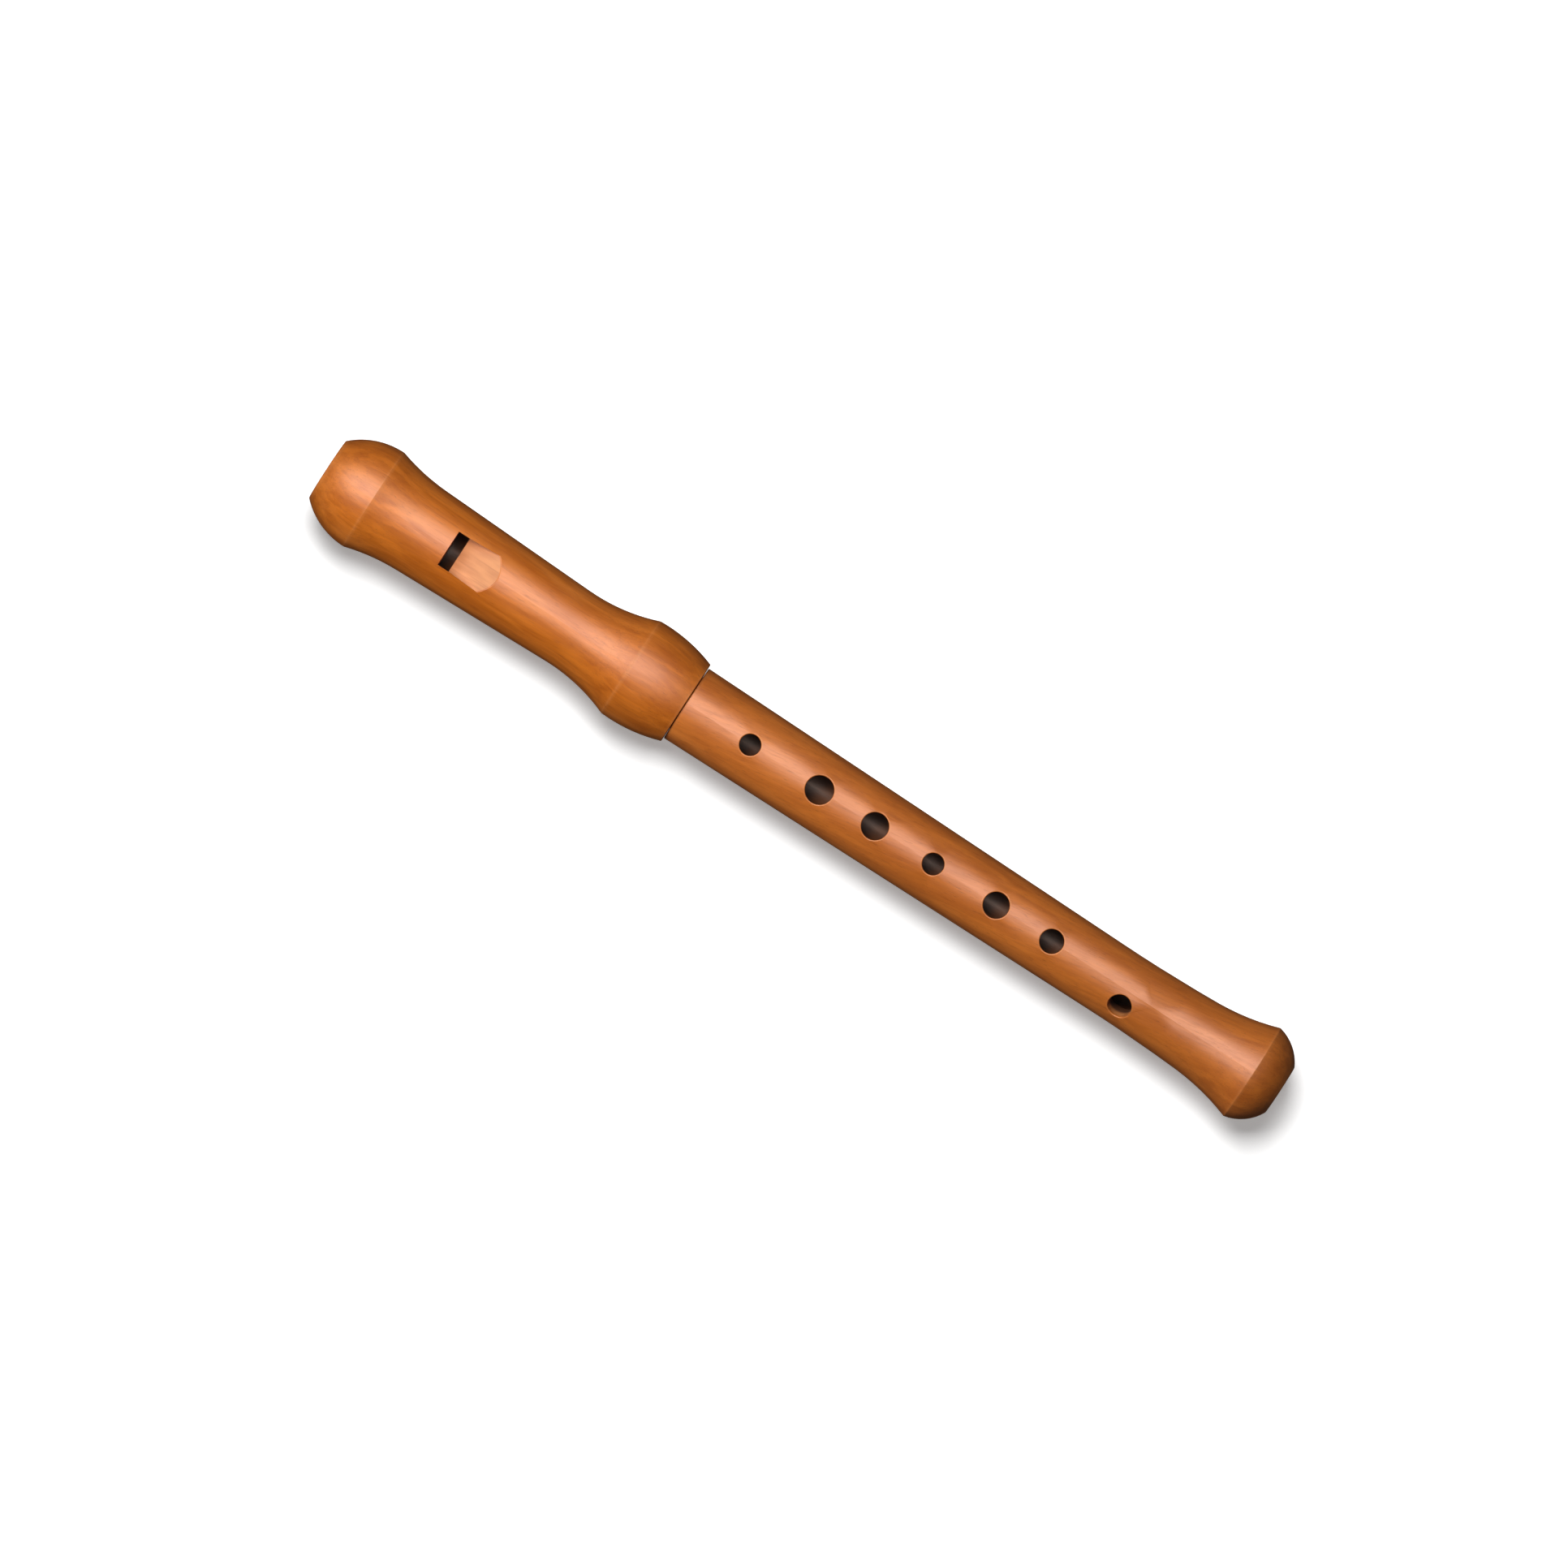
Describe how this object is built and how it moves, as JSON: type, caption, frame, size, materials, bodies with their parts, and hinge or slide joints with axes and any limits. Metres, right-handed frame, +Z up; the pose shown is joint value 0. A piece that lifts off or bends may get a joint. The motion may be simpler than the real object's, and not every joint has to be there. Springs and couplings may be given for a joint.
{
  "type": "soprano recorder",
  "caption": "Turned wooden soprano recorder: a blown beak with a block and window, finger holes along a tapered body, a flared foot, and a corked tenon joint that turns and pulls apart.",
  "frame": {"origin": "on the surface the recorder lies on, below the middle of its length, straight under the bore's axis", "axes": "+X along the bore from the beak to the bell, +Z up through the front finger holes and the window, +Y to the side away from the offset seventh hole"},
  "size_m": [0.325, 0.032, 0.032],
  "materials": {
    "stained_pearwood": "satin varnish over a red-brown stain",
    "block_wood": "bare, unvarnished",
    "cork": "bare sheet cork, greased"
  },
  "bodies": {
    "head": {"head_joint": "stained_pearwood"},
    "block": {"block": "block_wood"},
    "cork": {"tenon_cork": "cork"},
    "body": {"body_joint": "stained_pearwood"}
  },
  "joints": [
    {"name": "block_slide", "type": "slide", "parent": "head", "child": "block", "axis": [-1, 0, 0], "range_m": [0, 0.045]},
    {"name": "joint_pull", "type": "slide", "parent": "head", "child": "cork", "axis": [1, 0, 0], "range_m": [0, 0.03]},
    {"name": "joint_twist", "type": "hinge", "parent": "cork", "child": "body", "pos_m": [-0.0485, 0, 0.016], "axis": [1, 0, 0], "continuous": true}
  ]
}
